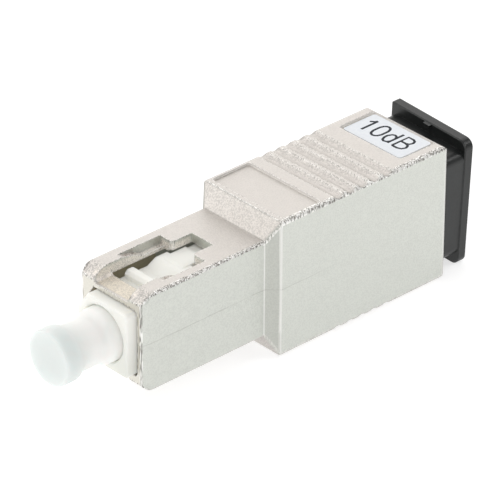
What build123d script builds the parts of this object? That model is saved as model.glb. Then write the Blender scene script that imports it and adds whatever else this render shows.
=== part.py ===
from build123d import *
from math import cos, radians, sin, sqrt, tan
import os

# Fixed fibre-optic attenuator, plug at one end and receptacle at the other.
# Origin: optical axis at the front face of the metal nose.
# +X runs along the optical axis to the receptacle, +Y to the key side, +Z up. Millimetres.

# Metal housing, one casting: a nose that enters an adapter and a wider grip
nose_width = 7.4
nose_height = 9.0
nose_length = 13.1
step_length = 0.98
housing_length = 32.8
grip_side_wall = 0.87
grip_narrow_wall = 1.71
long_edge_round = 0.3
step_blend = 0.12
rear_corner_round = 0.8
rear_side_round = 0.35
nose_lead_length = 1.7
nose_lead_drop = 0.82
side_lead_length = 0.85
side_lead_drop = 0.2
nose_front_round = 0.15

# Walls of the nose, and the gap that the frame slides with
nose_side_wall_share = 0.081
roof_thickness = 1.0
bar_depth = 1.9
bar_thickness = 0.38
bar_below_skin_share = 0.12
frame_slide_gap = 0.12

# Latch windows in the two narrow faces of the nose
channel_width = 4.2
channel_floor_round = 0.35
notch_start = 3.0
notch_end = 7.55
notch_width = 5.4
slot_width = 2.5
slot_end = 9.7
slot_mouth_round = 0.3
ledge_lead_length = 0.5
ledge_lead_depth = 0.13
ledge_brow = 1.15
ledge_brow_depth = 0.22
ledge_foot = 2.4
ledge_depth = 0.7
ledge_round = 0.3

# Grip grooves and shallow panels, alike on the top and the bottom
groove_count = 5
groove_pitch = 1.37
first_groove_from_step = 6.37
groove_radius = 0.62
groove_depth = 0.28
panel_depth = 0.2
panel_corner = 0.35
front_panel_from_step = 0.47
front_panel_length = 4.13
front_panel_margin = 0.4
label_panel_from_rear = 4.6
label_panel_length = 4.1
label_panel_margin = 1.0

# Key and keyway
key_width = 2.1
key_height = 0.8
key_start = 3.4
key_end_gap = 0.08
keyway_width = 2.4
keyway_length = 6.0

# Receptacle socket, a running fit for a mating nose
socket_side_gap = 0.08
socket_narrow_gap = 0.1
socket_start = 15.0
socket_corner = 0.25

# Plug frame
frame_protrusion = 1.0
frame_key_chamfer_across = 1.2
frame_key_chamfer_down = 1.72
passage_key_chamfer_across = 1.0
passage_key_chamfer_down = 1.5
frame_corner_round = 0.4
frame_hole_wall_share = 0.161
frame_hole_depth = 7.2
frame_hole_chamfer = 0.15
frame_wall = 0.8
frame_bore_wall_share = 0.171
frame_wall_hole_share = 0.4
frame_front_round = 0.12
latch_pad_width = 3.2
bump_start = 2.85
bump_top_start = 3.1
bump_top_end = 3.7
bump_end = 4.45
bump_height = 0.68
bump_front_share = 0.6
bump_round = 0.25
ramp_start = 4.95
ramp_end = 6.1
pad_height = 0.6
pad_end = 7.35
rib_width = 2.3
rib_height = 0.66
rib_end = 8.92
rib_nose_round = 0.6
rib_tail_length = 1.5
insertion_groove_gap = 0.08

# Travel of the moving parts
housing_travel = 0.9
stop_gap = 0.05

# Joint between the frame and the receptacle latch
shoulder_length = 1.9
shoulder_gap = 0.08
snap_lug_length = 1.4
snap_lug_width = 1.8
snap_lug_setback = 0.5
snap_window_gap = 0.1
snap_lug_inset = 0.05
boss_gap = 0.05

# Ferrule and fibre
ferrule_diameter = 2.499
ferrule_protrusion = 2.2
ferrule_length = 22.6
ferrule_end_cone = 0.5
ferrule_end_share = 0.6
fibre_diameter = 0.125

# Collar, spring and sleeve share the room between the ferrule and the frame's bore
collar_flange_gap = 0.25
collar_flange_length = 1.4
collar_tube_share = 0.3
collar_tube_length = 1.8
collar_notch_width = 0.8
collar_notch_share = 0.38
collar_edge_share = 0.17
spring_wire_share = 0.34
spring_radius_share = 0.6
spring_turns = 5.5
spring_end_gap = 0.02
seat_gap = 0.02
seat_thickness = 1.0
seat_spigot_length = 0.6
seat_spigot_share = 0.34
passage_share = 0.13
sleeve_length = 11.4
sleeve_wall_share = 0.285
sleeve_running_gap = 0.015
sleeve_slot = 0.5
sleeve_pocket_gap = 0.08
holder_share = 0.9
holder_lip = 0.55
holder_chamfer_share = 0.22

# Receptacle latch
base_length = 2.75
lug_from_base_end = 2.1
lug_width = 3.0
lug_length = 1.4
lug_height = 0.5
lug_gap = 0.1
hook_width = 4.0
hook_thickness = 0.62
hook_clear_below_roof = 0.18
hook_length = 7.3
hook_catch_depth = 0.6
hook_catch_length = 0.9
hook_lead_length = 0.75
hook_catch_slope = 0.25
hook_tip_length = 0.2
hook_tip_drop = 0.25
hook_tip_lip = 0.05
hook_head_width = 5.1
hook_head_length = 1.3
hook_root_round = 0.4

# Front dust cap
cap_front = 6.62
cap_head_length = 1.25
cap_frame_gap = 0.04
cap_hole_gap = 0.07
cap_neck_share = 0.68
cap_neck_start = 4.15
cap_neck_end = 2.65
cap_base_start = 1.45
cap_insert = 3.6
cap_edge_break = 0.28
cap_edge_bend = 0.08
cap_bore_gap = 0.05
cap_tip_room = 1.6
cap_bore_chamfer = 0.15

# Rear dust plug: block and flange sit off its insert, and the whole plug sits turned by its play
plug_roll = 2.6
plug_offset_across = 0.28
plug_offset_up = -0.36
plug_block_side_margin = 0.32
plug_block_narrow_margin = 1.22
plug_block_length = 2.3
plug_block_round = 0.85
plug_flange_side_margin = 0.22
plug_flange_narrow_margin = 0.26
plug_flange_thickness = 0.95
plug_flange_corner = 0.8
plug_flange_sharp_corner = 0.2
plug_flange_edge_break = 0.1
plug_nub_radius = 0.36
plug_nub_length = 0.3
plug_insert_side_gap = 0.33
plug_insert_narrow_gap = 0.4
plug_insert_corner = 0.6
plug_hook_gap = 0.2
plug_locator_gap = 0.5
plug_nose_gap = 1.8
plug_nose_chamfer = 0.3
plug_holder_gap = 0.12
plug_holder_end_gap = 0.55

# Rating label
label_end_margin = 0.2
label_side_margin = 0.28
label_thickness = 0.1
label_corner = 0.25

# Sizes that follow: outside
step_end = nose_length + step_length
socket_width = nose_width + 2 * socket_side_gap
socket_height = nose_height + 2 * socket_narrow_gap
body_width = socket_width + 2 * grip_side_wall
body_height = socket_height + 2 * grip_narrow_wall
panel_floor = body_height / 2 - panel_depth
front_panel_x = step_end + front_panel_from_step + front_panel_length / 2
front_panel_width = body_width - 2 * front_panel_margin
label_panel_width = body_width - 2 * label_panel_margin
label_x = housing_length - label_panel_from_rear + label_panel_length / 2
label_length = label_panel_length - 2 * label_end_margin
label_width = label_panel_width - 2 * label_side_margin
first_groove = step_end + first_groove_from_step
groove_axis_z = body_height / 2 + groove_radius - groove_depth

# Sizes that follow: frame in the nose
bar_top = nose_height / 2 - nose_height * bar_below_skin_share
bar_underside = bar_top - bar_thickness
roof_underside = nose_height / 2 - roof_thickness
frame_width = nose_width * (1 - 2 * nose_side_wall_share) - 2 * frame_slide_gap
frame_height = 2 * (bar_underside - frame_slide_gap)
frame_front = -frame_protrusion
frame_wall_front = frame_front + frame_hole_depth
frame_wall_back = frame_wall_front + frame_wall
frame_half = min(frame_width, frame_height) / 2
rib_tail_height = roof_underside - frame_slide_gap - frame_height / 2
frame_hole_radius = frame_half * (1 - frame_hole_wall_share)
frame_bore_radius = frame_half * (1 - frame_bore_wall_share)
shoulder_start = socket_start + housing_travel + stop_gap
latch_base_start = shoulder_start + shoulder_length
latch_base_end = latch_base_start + base_length
shoulder_width = socket_width - 2 * shoulder_gap
shoulder_height = socket_height - 2 * shoulder_gap

# Sizes that follow: ferrule, spring and sleeve
ferrule_radius = ferrule_diameter / 2
ferrule_end_radius = ferrule_radius * ferrule_end_share
ferrule_front = frame_front - ferrule_protrusion
ferrule_back = ferrule_front + ferrule_length
bore_room = frame_bore_radius - ferrule_radius
collar_tube_radius = ferrule_radius + bore_room * collar_tube_share
collar_flange_radius = frame_bore_radius - collar_flange_gap
collar_notch_depth = bore_room * collar_notch_share
collar_edge = bore_room * collar_edge_share
collar_start = frame_wall_back
frame_wall_hole_radius = ferrule_radius + bore_room * frame_wall_hole_share
spring_wire = bore_room * spring_wire_share
spring_radius = ferrule_radius + bore_room * spring_radius_share
spring_start = collar_start + collar_flange_length
seat_spigot_radius = ferrule_radius + bore_room * seat_spigot_share
passage_radius = ferrule_radius + bore_room * passage_share
sleeve_inner_radius = ferrule_radius + sleeve_running_gap
sleeve_outer_radius = sleeve_inner_radius + bore_room * sleeve_wall_share
sleeve_pocket_radius = sleeve_outer_radius + sleeve_pocket_gap
sleeve_start = ferrule_back - sleeve_length / 2
sleeve_end = ferrule_back + sleeve_length / 2
holder_radius = ferrule_radius + bore_room * holder_share
holder_chamfer = (holder_radius - passage_radius) * holder_chamfer_share
holder_end = sleeve_end + sleeve_pocket_gap + holder_lip
boss_start = sleeve_start - sleeve_pocket_gap
seat_start = boss_start - seat_thickness
snap_lug_start = boss_start + snap_lug_setback

# Sizes that follow: hooks, lugs and dust plug
hook_top = nose_height / 2 - hook_clear_below_roof
hook_underside = hook_top - hook_thickness
hook_end = latch_base_end + hook_length
lug_start = latch_base_end - lug_from_base_end
plug_block_width = body_width - 2 * plug_block_side_margin
plug_block_height = body_height - 2 * plug_block_narrow_margin
plug_flange_width = body_width - 2 * plug_flange_side_margin
plug_flange_height = body_height - 2 * plug_flange_narrow_margin

# How far a cut runs past the surface, how deep an added form is rooted, and the width of a match
beyond = 1.0
root = 0.3
match = 0.01

# The narrow faces are worked alike: planes seen from above and from below, and side views of each
upward = Plane.XY
downward = Plane(origin=(0, 0, 0), x_dir=(1, 0, 0), z_dir=(0, 0, -1))
side_up = Plane.XZ
side_down = Plane(origin=(0, 0, 0), x_dir=(1, 0, 0), z_dir=(0, 1, 0))

# Section of the plug frame, with two large chamfers on the key side, and the passage it slides in


def key_side_outline(width, height, chamfer_across, chamfer_down):
    """Corners of a rectangle with both corners of the key side cut off."""
    return [
        (-width / 2, -height / 2),
        (width / 2 - chamfer_across, -height / 2),
        (width / 2, -height / 2 + chamfer_down),
        (width / 2, height / 2 - chamfer_down),
        (width / 2 - chamfer_across, height / 2),
        (-width / 2, height / 2),
    ]


with BuildSketch() as frame_section:
    with BuildLine():
        Polyline(
            *key_side_outline(frame_width, frame_height, frame_key_chamfer_across, frame_key_chamfer_down),
            close=True,
        )
    make_face()
    fillet(vertices().group_by(Axis.X)[0], frame_corner_round)

with BuildSketch() as frame_passage:
    with BuildLine():
        Polyline(
            *key_side_outline(
                frame_width + 2 * frame_slide_gap,
                frame_height + 2 * frame_slide_gap,
                passage_key_chamfer_across,
                passage_key_chamfer_down,
            ),
            close=True,
        )
    make_face()
    fillet(vertices().group_by(Axis.X)[0], frame_corner_round)

with BuildPart() as nose_blank:
    # Nose: side view, view from above and section, each with rounded edges
    with BuildSketch(Plane.XZ):
        with BuildLine():
            Line((nose_length, 0), (0, 0))
            Line((0, 0), (0, nose_height / 2 - nose_lead_drop))
            TangentArc(
                (nose_lead_length, nose_height / 2),
                (0, nose_height / 2 - nose_lead_drop),
                tangent=(-1, 0),
            )
            Line((nose_lead_length, nose_height / 2), (nose_length, nose_height / 2))
            Line((nose_length, nose_height / 2), (nose_length, 0))
        make_face()
        mirror(about=Plane.XZ)
    extrude(amount=nose_width / 2, both=True)
    with BuildSketch(Plane.XY):
        with BuildLine():
            Line((nose_length, 0), (0, 0))
            Line((0, 0), (0, nose_width / 2 - side_lead_drop))
            TangentArc(
                (side_lead_length, nose_width / 2),
                (0, nose_width / 2 - side_lead_drop),
                tangent=(-1, 0),
            )
            Line((side_lead_length, nose_width / 2), (nose_length, nose_width / 2))
            Line((nose_length, nose_width / 2), (nose_length, 0))
        make_face()
        mirror(about=Plane.XZ)
    extrude(amount=nose_height / 2, both=True, mode=Mode.INTERSECT)
    with BuildSketch(Plane.YZ):
        RectangleRounded(nose_width, nose_height, long_edge_round)
    extrude(amount=nose_length, mode=Mode.INTERSECT)
    fillet(edges().group_by(Axis.X)[0], nose_front_round)

with BuildPart() as grip_blank:
    # Grip: section, then the side view and the view from above with their rounded rear corners
    with BuildSketch(Plane.YZ.offset(step_end)):
        RectangleRounded(body_width, body_height, long_edge_round)
    extrude(amount=housing_length - step_end)
    grip_middle = (step_end + housing_length) / 2
    with BuildSketch(Plane.XZ):
        with Locations((grip_middle, 0)):
            Rectangle(housing_length - step_end, body_height)
        fillet(vertices().group_by(Axis.X)[-1], rear_corner_round)
    extrude(amount=body_width, both=True, mode=Mode.INTERSECT)
    with BuildSketch(Plane.XY):
        with Locations((grip_middle, 0)):
            Rectangle(housing_length - step_end, body_width)
        fillet(vertices().group_by(Axis.X)[-1], rear_side_round)
    extrude(amount=body_height, both=True, mode=Mode.INTERSECT)

with BuildPart() as metal_housing:
    add(nose_blank.part)
    add(grip_blank.part)
    # Sloped step: share of the rise at each share of the length, with a soft bend at both ends
    bends = [step_blend * share for share in (-1, -0.35, 0.35, 1)]
    stations = [(bend, (bend + step_blend) ** 2 / (4 * step_blend)) for bend in bends]
    stations += [(1 + bend, 1 - (step_blend - bend) ** 2 / (4 * step_blend)) for bend in bends]
    for place, level in stations:
        with BuildSketch(Plane.YZ.offset(nose_length + step_length * place)):
            RectangleRounded(
                nose_width + (body_width - nose_width) * level,
                nose_height + (body_height - nose_height) * level,
                long_edge_round,
            )
    loft(ruled=True)
    # Key rib on the hidden wide face of the nose
    with BuildSketch(Plane.YZ.offset(key_start)):
        with Locations(((nose_width + key_height - root) / 2, 0)):
            Rectangle(key_height + root, key_width)
    extrude(amount=step_end - key_end_gap - key_start)
    # Grip grooves, panels and latch windows, above and below
    for side_view in (side_up, side_down):
        with BuildSketch(side_view):
            for index in range(groove_count):
                with Locations((first_groove + index * groove_pitch, groove_axis_z)):
                    Circle(groove_radius)
        extrude(amount=body_width, both=True, mode=Mode.SUBTRACT)
    for face_view in (upward, downward):
        with BuildSketch(face_view.offset(panel_floor)):
            with Locations((front_panel_x, 0)):
                RectangleRounded(front_panel_length, front_panel_width, panel_corner)
            with Locations((label_x, 0)):
                RectangleRounded(label_panel_length, label_panel_width, panel_corner)
        extrude(amount=panel_depth + beyond, mode=Mode.SUBTRACT)
    # Inside of the nose: the frame runs in it, under the front bars
    with BuildSketch(Plane.YZ.offset(-beyond)):
        add(frame_passage.sketch)
    extrude(amount=beyond + bar_depth, mode=Mode.SUBTRACT)
    with BuildSketch(Plane.YZ.offset(bar_depth)):
        Rectangle(frame_width + 2 * frame_slide_gap, 2 * roof_underside)
    extrude(amount=socket_start - bar_depth + beyond, mode=Mode.SUBTRACT)
    insertion_width = latch_pad_width + 2 * insertion_groove_gap
    insertion_height = frame_height + 2 * (rib_height + insertion_groove_gap)
    with BuildSketch(Plane.YZ.offset(notch_end)):
        Rectangle(insertion_width, insertion_height)
    extrude(amount=socket_start - notch_end + beyond, mode=Mode.SUBTRACT)
    # Receptacle socket with its keyway
    with BuildSketch(Plane.YZ.offset(socket_start)):
        RectangleRounded(socket_width, socket_height, socket_corner)
    extrude(amount=housing_length - socket_start + beyond, mode=Mode.SUBTRACT)
    with BuildSketch(Plane.YZ.offset(housing_length - keyway_length)):
        with Locations((body_width / 2, 0)):
            Rectangle(body_width / 2, keyway_width)
    extrude(amount=keyway_length + beyond, mode=Mode.SUBTRACT)
    # Latch windows: entry channel over the bar, through window, release ledges and rear slot
    for face_view in (upward, downward):
        with BuildSketch(Plane.YZ.offset(-beyond)):
            rise = nose_height / 2 + beyond - bar_top
            middle = (bar_top + nose_height / 2 + beyond) / 2 * face_view.z_dir.Z
            with Locations((0, middle)):
                Rectangle(channel_width, rise)
            low_corners = vertices().group_by(Axis.Y)[0 if face_view is upward else -1]
            fillet(low_corners, channel_floor_round)
        extrude(amount=beyond + notch_start + ledge_lead_length, mode=Mode.SUBTRACT)
        with BuildSketch(face_view.offset(roof_underside - root)):
            with Locations(((bar_depth + notch_end) / 2, 0)):
                Rectangle(notch_end - bar_depth, channel_width)
            with Locations(((notch_end + slot_end - beyond) / 2, 0)):
                Rectangle(slot_end - notch_end + beyond, slot_width)
        extrude(amount=roof_thickness + beyond, mode=Mode.SUBTRACT)
    for side_view in (side_up, side_down):
        skin = nose_height / 2
        with BuildSketch(side_view):
            with BuildLine():
                Polyline(
                    (notch_start, skin + beyond),
                    (notch_start, skin),
                    (notch_start + ledge_lead_length, skin - ledge_lead_depth),
                    (notch_start + ledge_brow, skin - ledge_brow_depth),
                    (notch_start + ledge_foot, skin - ledge_depth),
                    (notch_end, skin - ledge_depth),
                    (notch_end, skin + beyond),
                    close=True,
                )
            make_face()
            fillet(vertices().group_by(Axis.X)[2:4], ledge_round)
        extrude(amount=notch_width / 2, both=True, mode=Mode.SUBTRACT)
    slot_mouth = (
        edges()
        .filter_by(Axis.Z)
        .filter_by_position(Axis.X, notch_end - match, notch_end + match)
        .filter_by(lambda edge: abs(abs(edge.center().Y) - slot_width / 2) < match)
    )
    fillet(slot_mouth, slot_mouth_round)
    # Pockets that the latch's lugs travel in
    for face_view in (upward, downward):
        pocket_start = lug_start - housing_travel - stop_gap
        pocket_end = lug_start + lug_length + stop_gap
        with BuildSketch(face_view.offset(socket_height / 2 - root)):
            with Locations(((pocket_start + pocket_end) / 2, 0)):
                Rectangle(pocket_end - pocket_start, lug_width + 2 * lug_gap)
        extrude(amount=root + lug_height + lug_gap, mode=Mode.SUBTRACT)

with BuildPart() as plug_frame:
    with BuildSketch(Plane.YZ.offset(frame_front)):
        add(frame_section.sketch)
    extrude(amount=latch_base_start - frame_front)
    chamfer(edges().group_by(Axis.X)[0], frame_front_round)
    with BuildSketch(Plane.YZ.offset(shoulder_start)):
        RectangleRounded(shoulder_width, shoulder_height, socket_corner)
    extrude(amount=shoulder_length)
    # Latching bump, landing ramp and pad, with the rib that runs in the slot
    for side_view in (side_up, side_down):
        skin = frame_height / 2
        with BuildSketch(side_view):
            with BuildLine():
                Polyline(
                    (bump_start, skin - root),
                    (bump_start, skin + bump_height * bump_front_share),
                    (bump_top_start, skin + bump_height),
                    (bump_top_end, skin + bump_height),
                    (bump_end, skin),
                    (ramp_start, skin),
                    (ramp_end, skin + pad_height),
                    (pad_end, skin + pad_height),
                    (pad_end, skin - root),
                    close=True,
                )
            make_face()
            rounded = vertices().filter_by_position(Axis.X, bump_start + match, ramp_end + match)
            fillet(rounded, bump_round)
        extrude(amount=latch_pad_width / 2, both=True)
        with BuildSketch(side_view):
            with Locations(((ramp_end + rib_end) / 2, skin + (rib_height - root) / 2)):
                Rectangle(rib_end - ramp_end, rib_height + root)
            fillet(vertices().group_by(Axis.Y)[-1].sort_by(Axis.X)[0], rib_nose_round)
            # Low tail that floors the slot and runs on under the roof
            with Locations((rib_end + (rib_tail_length - match) / 2, skin + (rib_tail_height - root) / 2)):
                Rectangle(rib_tail_length + match, rib_tail_height + root)
        extrude(amount=rib_width / 2, both=True)
    # Cavity for a mating sleeve holder, the ferrule's wall, and the bore for collar and spring
    with BuildSketch(Plane.YZ.offset(frame_front)):
        Circle(frame_hole_radius)
    extrude(amount=frame_hole_depth, mode=Mode.SUBTRACT)
    with BuildSketch(Plane.YZ.offset(frame_wall_front - root)):
        Circle(frame_wall_hole_radius)
    extrude(amount=frame_wall + 2 * root, mode=Mode.SUBTRACT)
    with BuildSketch(Plane.YZ.offset(frame_wall_back)):
        Circle(frame_bore_radius)
    extrude(amount=latch_base_start - frame_wall_back, mode=Mode.SUBTRACT)
    mouth = edges().filter_by(GeomType.CIRCLE).group_by(Axis.X)[0].sort_by(SortBy.RADIUS)[-1]
    chamfer(mouth, frame_hole_chamfer)
    # Windows in both wide sides for the snap lugs
    window_start = snap_lug_start - snap_window_gap
    window_end = snap_lug_start + snap_lug_length + snap_window_gap
    with BuildSketch(Plane.XZ):
        with Locations(((window_start + window_end) / 2, 0)):
            Rectangle(window_end - window_start, snap_lug_width + 2 * snap_window_gap)
    extrude(amount=frame_width, both=True, mode=Mode.SUBTRACT)

with BuildPart() as ferrule:
    with BuildSketch(Plane.XZ):
        with BuildLine():
            Polyline(
                (ferrule_front, fibre_diameter / 2),
                (ferrule_front, ferrule_end_radius),
                (ferrule_front + ferrule_end_cone, ferrule_radius),
                (ferrule_back - ferrule_end_cone, ferrule_radius),
                (ferrule_back, ferrule_end_radius),
                (ferrule_back, fibre_diameter / 2),
                close=True,
            )
        make_face()
    revolve(axis=Axis.X)

with BuildPart() as attenuating_fibre:
    with BuildSketch(Plane.YZ.offset(ferrule_front)):
        Circle(fibre_diameter / 2)
    extrude(amount=ferrule_length)

with BuildPart() as ferrule_collar:
    with BuildSketch(Plane.YZ.offset(collar_start)):
        Circle(collar_flange_radius)
    extrude(amount=collar_flange_length)
    chamfer(edges().group_by(Axis.X)[0], collar_edge)
    with BuildSketch(Plane.YZ.offset(spring_start)):
        Circle(collar_tube_radius)
    extrude(amount=collar_tube_length)
    chamfer(edges().group_by(Axis.X)[-1], collar_edge / 2)
    with BuildSketch(Plane.YZ.offset(collar_start)):
        with PolarLocations(collar_flange_radius, 4):
            Rectangle(2 * collar_notch_depth, collar_notch_width)
    extrude(amount=collar_flange_length, mode=Mode.SUBTRACT)
    with BuildSketch(Plane.YZ.offset(collar_start - beyond)):
        Circle(ferrule_radius)
    extrude(amount=collar_flange_length + collar_tube_length + 2 * beyond, mode=Mode.SUBTRACT)

with BuildPart() as ferrule_spring:
    coil_start = spring_start + spring_wire / 2 + spring_end_gap
    coil_length = seat_start - spring_start - spring_wire - 2 * spring_end_gap
    with BuildLine() as coil:
        Helix(
            pitch=coil_length / spring_turns,
            height=coil_length,
            radius=spring_radius,
            center=(coil_start, 0, 0),
            direction=(1, 0, 0),
        )
    with BuildSketch(Plane(origin=coil.line @ 0, z_dir=coil.line % 0)):
        RegularPolygon(spring_wire / 2, 6)
    sweep(is_frenet=True)

with BuildPart() as spring_seat:
    with BuildSketch(Plane.YZ.offset(seat_start)):
        Circle(frame_bore_radius - seat_gap)
    extrude(amount=seat_thickness)
    with BuildSketch(Plane.YZ.offset(seat_start - seat_spigot_length)):
        Circle(seat_spigot_radius)
    extrude(amount=seat_spigot_length)
    chamfer(edges().group_by(Axis.X)[0], collar_edge / 2)
    with BuildSketch(Plane.YZ.offset(seat_start - beyond)):
        Circle(passage_radius)
    extrude(amount=seat_thickness + 2 * beyond, mode=Mode.SUBTRACT)

with BuildPart() as split_sleeve:
    with BuildSketch(Plane.YZ.offset(sleeve_start)):
        Circle(sleeve_outer_radius)
        Circle(sleeve_inner_radius, mode=Mode.SUBTRACT)
        with Locations((0, sleeve_outer_radius)):
            Rectangle(sleeve_slot, sleeve_outer_radius, mode=Mode.SUBTRACT)
    extrude(amount=sleeve_length)

with BuildPart() as receptacle_latch:
    # Boss in the frame's bore, square base and sleeve holder
    with BuildSketch(Plane.YZ.offset(boss_start)):
        Circle(frame_bore_radius - boss_gap)
    extrude(amount=latch_base_start - boss_start)
    with BuildSketch(Plane.YZ.offset(latch_base_start)):
        RectangleRounded(shoulder_width, shoulder_height, socket_corner)
    extrude(amount=base_length)
    with BuildSketch(Plane.YZ.offset(latch_base_end)):
        Circle(holder_radius)
    extrude(amount=holder_end - latch_base_end)
    chamfer(edges().filter_by(GeomType.CIRCLE).group_by(Axis.X)[-1], holder_chamfer)
    # Snap lugs on both sides of the boss, with a sloped leading face
    with BuildSketch(Plane.XY):
        with BuildLine():
            Polyline(
                (snap_lug_start, frame_bore_radius - boss_gap - root),
                (snap_lug_start, frame_bore_radius - boss_gap),
                (snap_lug_start + snap_lug_length, frame_width / 2 - snap_lug_inset),
                (snap_lug_start + snap_lug_length, frame_bore_radius - boss_gap - root),
                close=True,
            )
        make_face()
        mirror(about=Plane.XZ)
    extrude(amount=snap_lug_width / 2, both=True)
    # Lugs that hold the inner parts in the housing
    for side_view in (side_up, side_down):
        with BuildSketch(side_view):
            with BuildLine():
                Polyline(
                    (lug_start, shoulder_height / 2 - root),
                    (lug_start, shoulder_height / 2),
                    (lug_start + lug_length / 2, socket_height / 2 + lug_height),
                    (lug_start + lug_length, socket_height / 2 + lug_height),
                    (lug_start + lug_length, shoulder_height / 2 - root),
                    close=True,
                )
            make_face()
        extrude(amount=lug_width / 2, both=True)
    # Spring hooks: arm, catch with its lead-in, and the wide head that the ledges lift
    for side_view in (side_up, side_down):
        with BuildSketch(side_view):
            with BuildLine():
                Polyline(
                    (latch_base_end - root, hook_underside),
                    (latch_base_end - root, hook_top),
                    (hook_end - hook_tip_length, hook_top),
                    (hook_end, hook_top - hook_tip_drop),
                    (hook_end, hook_underside + hook_tip_lip),
                    (hook_end - hook_lead_length, hook_underside - hook_catch_depth),
                    (hook_end - hook_catch_length, hook_underside - hook_catch_depth),
                    (hook_end - hook_catch_length - hook_catch_slope, hook_underside),
                    close=True,
                )
            make_face()
        extrude(amount=hook_width / 2, both=True)
        with BuildSketch(side_view):
            head_middle = hook_end - hook_tip_length - hook_head_length / 2
            with Locations((head_middle, (hook_top + hook_underside) / 2)):
                Rectangle(hook_head_length, hook_thickness)
        extrude(amount=hook_head_width / 2, both=True)
    root_lines = (
        edges()
        .filter_by(Axis.Y)
        .filter_by_position(Axis.X, latch_base_end - match, latch_base_end + match)
        .filter_by(lambda edge: abs(abs(edge.center().Z) - hook_underside) < match)
    )
    fillet(root_lines, hook_root_round)
    # Sleeve pocket and the mouth that a ferrule enters
    with BuildSketch(Plane.YZ.offset(boss_start)):
        Circle(sleeve_pocket_radius)
    extrude(amount=sleeve_end + sleeve_pocket_gap - boss_start, mode=Mode.SUBTRACT)
    with BuildSketch(Plane.YZ.offset(holder_end - holder_lip - root)):
        Circle(passage_radius)
    extrude(amount=holder_lip + 2 * root, mode=Mode.SUBTRACT)
    mouth = edges().filter_by(GeomType.CIRCLE).group_by(Axis.X)[-1].sort_by(SortBy.RADIUS)[0]
    chamfer(mouth, holder_chamfer)

with BuildPart() as front_dust_cap:
    front = -cap_front
    bore_radius = ferrule_radius + cap_bore_gap
    cap_head_radius = frame_hole_radius - cap_frame_gap
    cap_base_radius = frame_hole_radius - cap_hole_gap
    cap_neck_radius = ferrule_radius + (cap_head_radius - ferrule_radius) * cap_neck_share
    # The neck's flanks turn at these points, each from one arc into another
    front_bend = ((front + cap_head_length - cap_neck_start) / 2, (cap_head_radius + cap_neck_radius) / 2)
    back_bend = (-(cap_neck_end + cap_base_start) / 2, (cap_neck_radius + cap_base_radius) / 2)
    with BuildSketch(Plane.XZ):
        with BuildLine():
            Polyline(
                (front, 0),
                (front, cap_head_radius - cap_edge_break),
                (front + cap_edge_bend, cap_head_radius - cap_edge_bend),
                (front + cap_edge_break, cap_head_radius),
                (front + cap_head_length, cap_head_radius),
            )
            TangentArc((front + cap_head_length, cap_head_radius), front_bend, tangent=(1, 0))
            TangentArc((-cap_neck_start, cap_neck_radius), front_bend, tangent=(-1, 0))
            Line((-cap_neck_start, cap_neck_radius), (-cap_neck_end, cap_neck_radius))
            TangentArc((-cap_neck_end, cap_neck_radius), back_bend, tangent=(1, 0))
            TangentArc((-cap_base_start, cap_base_radius), back_bend, tangent=(-1, 0))
            Line((-cap_base_start, cap_base_radius), (frame_front + cap_insert, cap_base_radius))
            Line((frame_front + cap_insert, cap_base_radius), (frame_front + cap_insert, bore_radius))
            Line((frame_front + cap_insert, bore_radius), (ferrule_front - cap_tip_room, bore_radius))
            Line((ferrule_front - cap_tip_room, bore_radius), (ferrule_front - cap_tip_room, 0))
            Line((ferrule_front - cap_tip_room, 0), (front, 0))
        make_face()
    revolve(axis=Axis.X)
    back_rims = edges().filter_by(GeomType.CIRCLE).group_by(Axis.X)[-1]
    chamfer(back_rims, cap_bore_chamfer)

with BuildPart() as rear_dust_plug:
    flange_start = housing_length + plug_block_length
    locator_start = hook_end + plug_locator_gap
    nose_start = latch_base_end + plug_nose_gap
    insert_width = socket_width - 2 * plug_insert_side_gap
    insert_height = socket_height - 2 * plug_insert_narrow_gap
    lean = sin(radians(plug_roll))
    catch_height = hook_underside - hook_catch_depth
    nose_height_under_hooks = 2 * (catch_height - plug_hook_gap - insert_width / 2 * lean)
    plug_view = Plane(
        origin=(0, 0, 0),
        x_dir=(0, cos(radians(plug_roll)), lean),
        z_dir=(1, 0, 0),
    )
    with BuildSketch(plug_view.offset(flange_start)):
        with Locations((plug_offset_across, plug_offset_up)):
            Rectangle(plug_flange_width, plug_flange_height)
        fillet(vertices().filter_by(lambda corner: corner.X < 0 or corner.Y < 0), plug_flange_corner)
        fillet(vertices().group_by(Axis.X)[-1].sort_by(Axis.Y)[-1], plug_flange_sharp_corner)
    extrude(amount=plug_flange_thickness)
    chamfer(edges().group_by(Axis.X)[0], plug_flange_edge_break)
    chamfer(edges().group_by(Axis.X)[-1], plug_flange_edge_break)
    # Moulding nub at the middle of the flange's upper edge
    with BuildSketch(plug_view.offset(flange_start - plug_nub_length)):
        nub_height = plug_offset_up + plug_flange_height / 2 - plug_flange_edge_break
        with Locations((plug_offset_across, nub_height)):
            Circle(plug_nub_radius)
            with Locations((0, plug_nub_radius)):
                Rectangle(3 * plug_nub_radius, 2 * plug_nub_radius, mode=Mode.SUBTRACT)
    extrude(amount=plug_nub_length + plug_flange_thickness / 2)
    with BuildSketch(plug_view.offset(housing_length)):
        with Locations((plug_offset_across, plug_offset_up)):
            RectangleRounded(plug_block_width, plug_block_height, plug_block_round)
    extrude(amount=plug_block_length)
    # Insert: full height behind the hooks, lower under them, hollow over the sleeve holder
    with BuildSketch(plug_view.offset(locator_start)):
        RectangleRounded(insert_width, insert_height, plug_insert_corner)
    extrude(amount=housing_length - locator_start)
    with BuildSketch(plug_view.offset(nose_start)):
        RectangleRounded(insert_width, nose_height_under_hooks, plug_insert_corner)
    extrude(amount=locator_start - nose_start)
    chamfer(edges().group_by(Axis.X)[0], plug_nose_chamfer)
    with BuildSketch(Plane.YZ.offset(nose_start)):
        Circle(holder_radius + plug_holder_gap)
    extrude(amount=holder_end + plug_holder_end_gap - nose_start, mode=Mode.SUBTRACT)

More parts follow.
